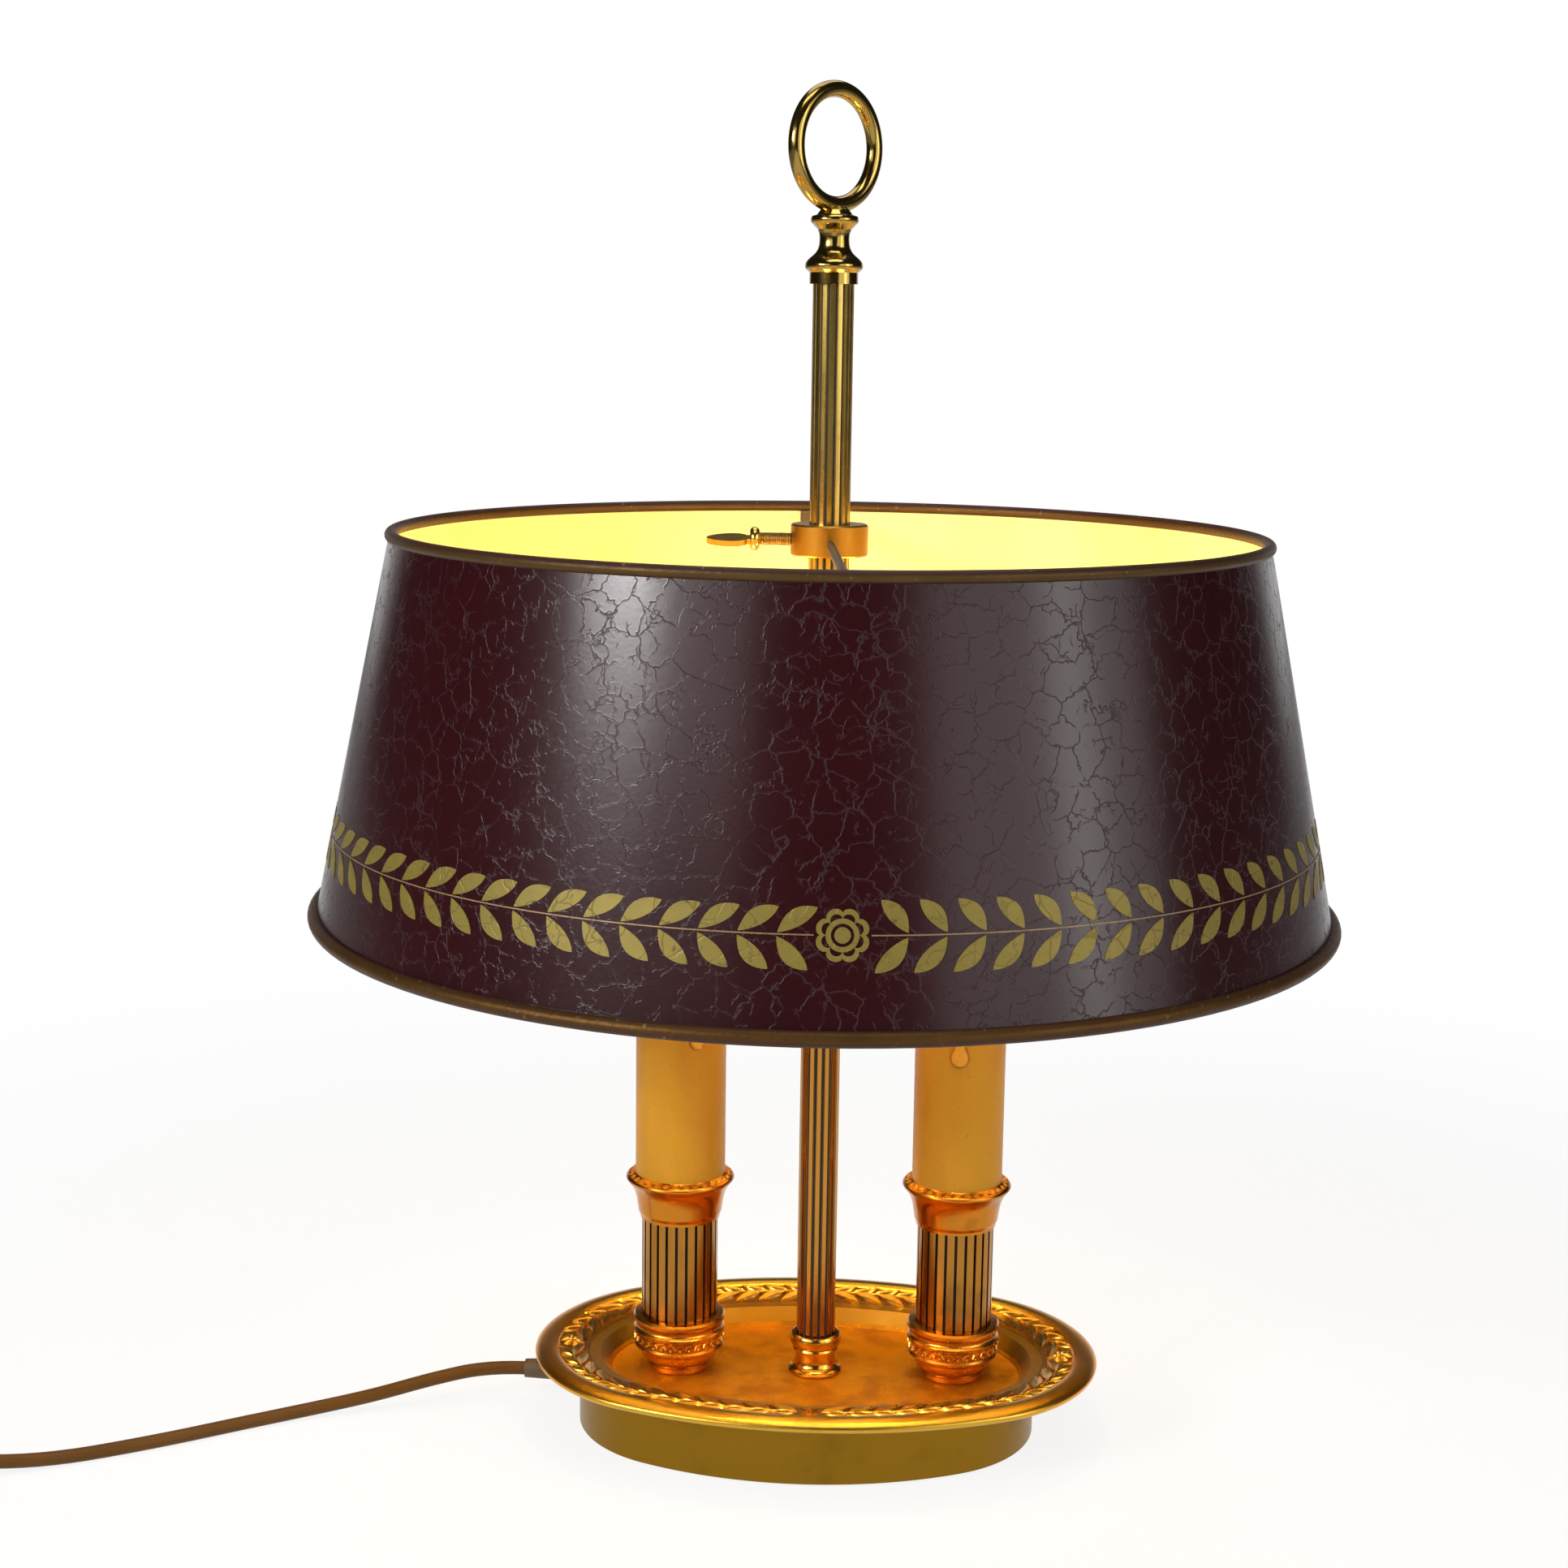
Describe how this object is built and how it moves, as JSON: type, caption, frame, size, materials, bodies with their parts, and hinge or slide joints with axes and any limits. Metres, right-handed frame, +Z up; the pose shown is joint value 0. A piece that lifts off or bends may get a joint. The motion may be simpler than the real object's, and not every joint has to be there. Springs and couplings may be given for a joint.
{
  "type": "bouillotte lamp",
  "caption": "Table lamp with a painted metal drum shade that slides on a fluted stem, false candles on columns, oval footed tray, cord with switch and plug.",
  "frame": {"origin": "on the table, at the middle of the lamp without its cord, under the stem", "axes": "+Z up, +X along the oval tray towards the right candle, -Y towards the front"},
  "size_m": [0.6169, 0.3334, 0.4425],
  "materials": {
    "tray_brass": "cast, satin with polished rim",
    "skirt_brass": "satin sheet brass",
    "cast_weight": "rough casting",
    "plated_steel": "zinc plated",
    "felt": "green felt",
    "dark_plastic": "matt",
    "cord_pvc": "brown-gold sleeve",
    "wire_pvc": "matt",
    "terminal_plastic": "matt",
    "stem_brass": "satin, patina in the flutes",
    "threaded_steel": "threaded rod",
    "finial_brass": "polished",
    "contact_brass": "plain",
    "collar_brass": "satin with polished edges",
    "screw_brass": "polished",
    "arm_steel": "dull drawn steel",
    "shade_paint": "burgundy enamel, fine crackle, gilt band; cream inside",
    "rim_gilt": "worn gilt",
    "switch_plastic": "satin",
    "rocker_plastic": "satin",
    "plug_plastic": "moulded",
    "pin_metal": "nickel plated",
    "column_brass": "polished, dark in the slots",
    "cup_brass": "polished",
    "holder_plastic": "phenolic",
    "candle_plastic": "cream with wax runs",
    "cap_metal": "rolled thread shell",
    "bulb_glass": "frosted"
  },
  "bodies": {
    "lamp_base": {"base_tray": "tray_brass", "base_skirt": "skirt_brass", "base_ballast": "cast_weight", "base_plate": "plated_steel", "plate_screws": "plated_steel", "felt_pad": "felt", "cord_bushing": "dark_plastic", "inner_lead": "cord_pvc", "terminal_block": "terminal_plastic", "terminal_screws": "plated_steel", "holder_lead_left": "wire_pvc", "holder_lead_right": "wire_pvc", "stem_foot": "stem_brass", "stem_tube": "stem_brass", "stem_rod": "threaded_steel", "rod_nut": "threaded_steel", "rod_washer": "plated_steel", "pipe_nuts": "threaded_steel", "pipe_washers": "plated_steel", "cup_locknuts": "threaded_steel", "holder_contacts": "contact_brass", "cord_lead": "cord_pvc", "cord_tail": "cord_pvc", "cord_end": "cord_pvc", "cord_coil": "cord_pvc", "switch_base": "switch_plastic", "switch_cover": "switch_plastic", "switch_screws": "plated_steel", "plug_body": "plug_plastic", "plug_pins": "pin_metal", "column_foot_left": "column_brass", "fluted_column_left": "column_brass", "candle_cup_left": "cup_brass", "lamp_pipe_left": "threaded_steel", "lampholder_left": "holder_plastic", "candle_sleeve_left": "candle_plastic", "column_foot_right": "column_brass", "fluted_column_right": "column_brass", "candle_cup_right": "cup_brass", "lamp_pipe_right": "threaded_steel", "lampholder_right": "holder_plastic", "candle_sleeve_right": "candle_plastic"},
    "shade": {"shade_shell": "shade_paint", "shade_rim_top": "rim_gilt", "shade_rim_bottom": "rim_gilt", "shade_collar": "collar_brass", "shade_arm_front": "arm_steel", "shade_arm_rear": "arm_steel"},
    "thumbscrew": {"thumbscrew": "screw_brass"},
    "finial": {"finial_neck": "finial_brass", "finial_ring": "finial_brass"},
    "switch_rocker": {"switch_rocker": "rocker_plastic"},
    "bulb_left": {"bulb_cap_left": "cap_metal", "bulb_glass_left": "bulb_glass"},
    "bulb_right": {"bulb_cap_right": "cap_metal", "bulb_glass_right": "bulb_glass"}
  },
  "joints": [
    {"name": "shade_slide", "type": "slide", "parent": "lamp_base", "child": "shade", "axis": [0, 0, 1], "range_m": [-0.03, 0.075]},
    {"name": "thumbscrew_turn", "type": "hinge", "parent": "shade", "child": "thumbscrew", "pos_m": [0, 0, 0.3], "axis": [-0.9976, -0.0698, 0], "range_deg": [0, 360]},
    {"name": "finial_turn", "type": "hinge", "parent": "lamp_base", "child": "finial", "pos_m": [0, 0, 0.3803], "axis": [0, 0, 1], "range_deg": [0, 360]},
    {"name": "switch_tip", "type": "hinge", "parent": "lamp_base", "child": "switch_rocker", "pos_m": [-0.3095, -0.0853, 0.0072], "axis": [-0.4067, 0.9135, 0], "range_deg": [-7, 7]},
    {"name": "bulb_left_turn", "type": "hinge", "parent": "lamp_base", "child": "bulb_left", "pos_m": [-0.0464, 0, 0.187], "axis": [0, 0, 1], "range_deg": [0, 360]},
    {"name": "bulb_right_turn", "type": "hinge", "parent": "lamp_base", "child": "bulb_right", "pos_m": [0.0464, 0, 0.187], "axis": [0, 0, 1], "range_deg": [0, 360]}
  ]
}
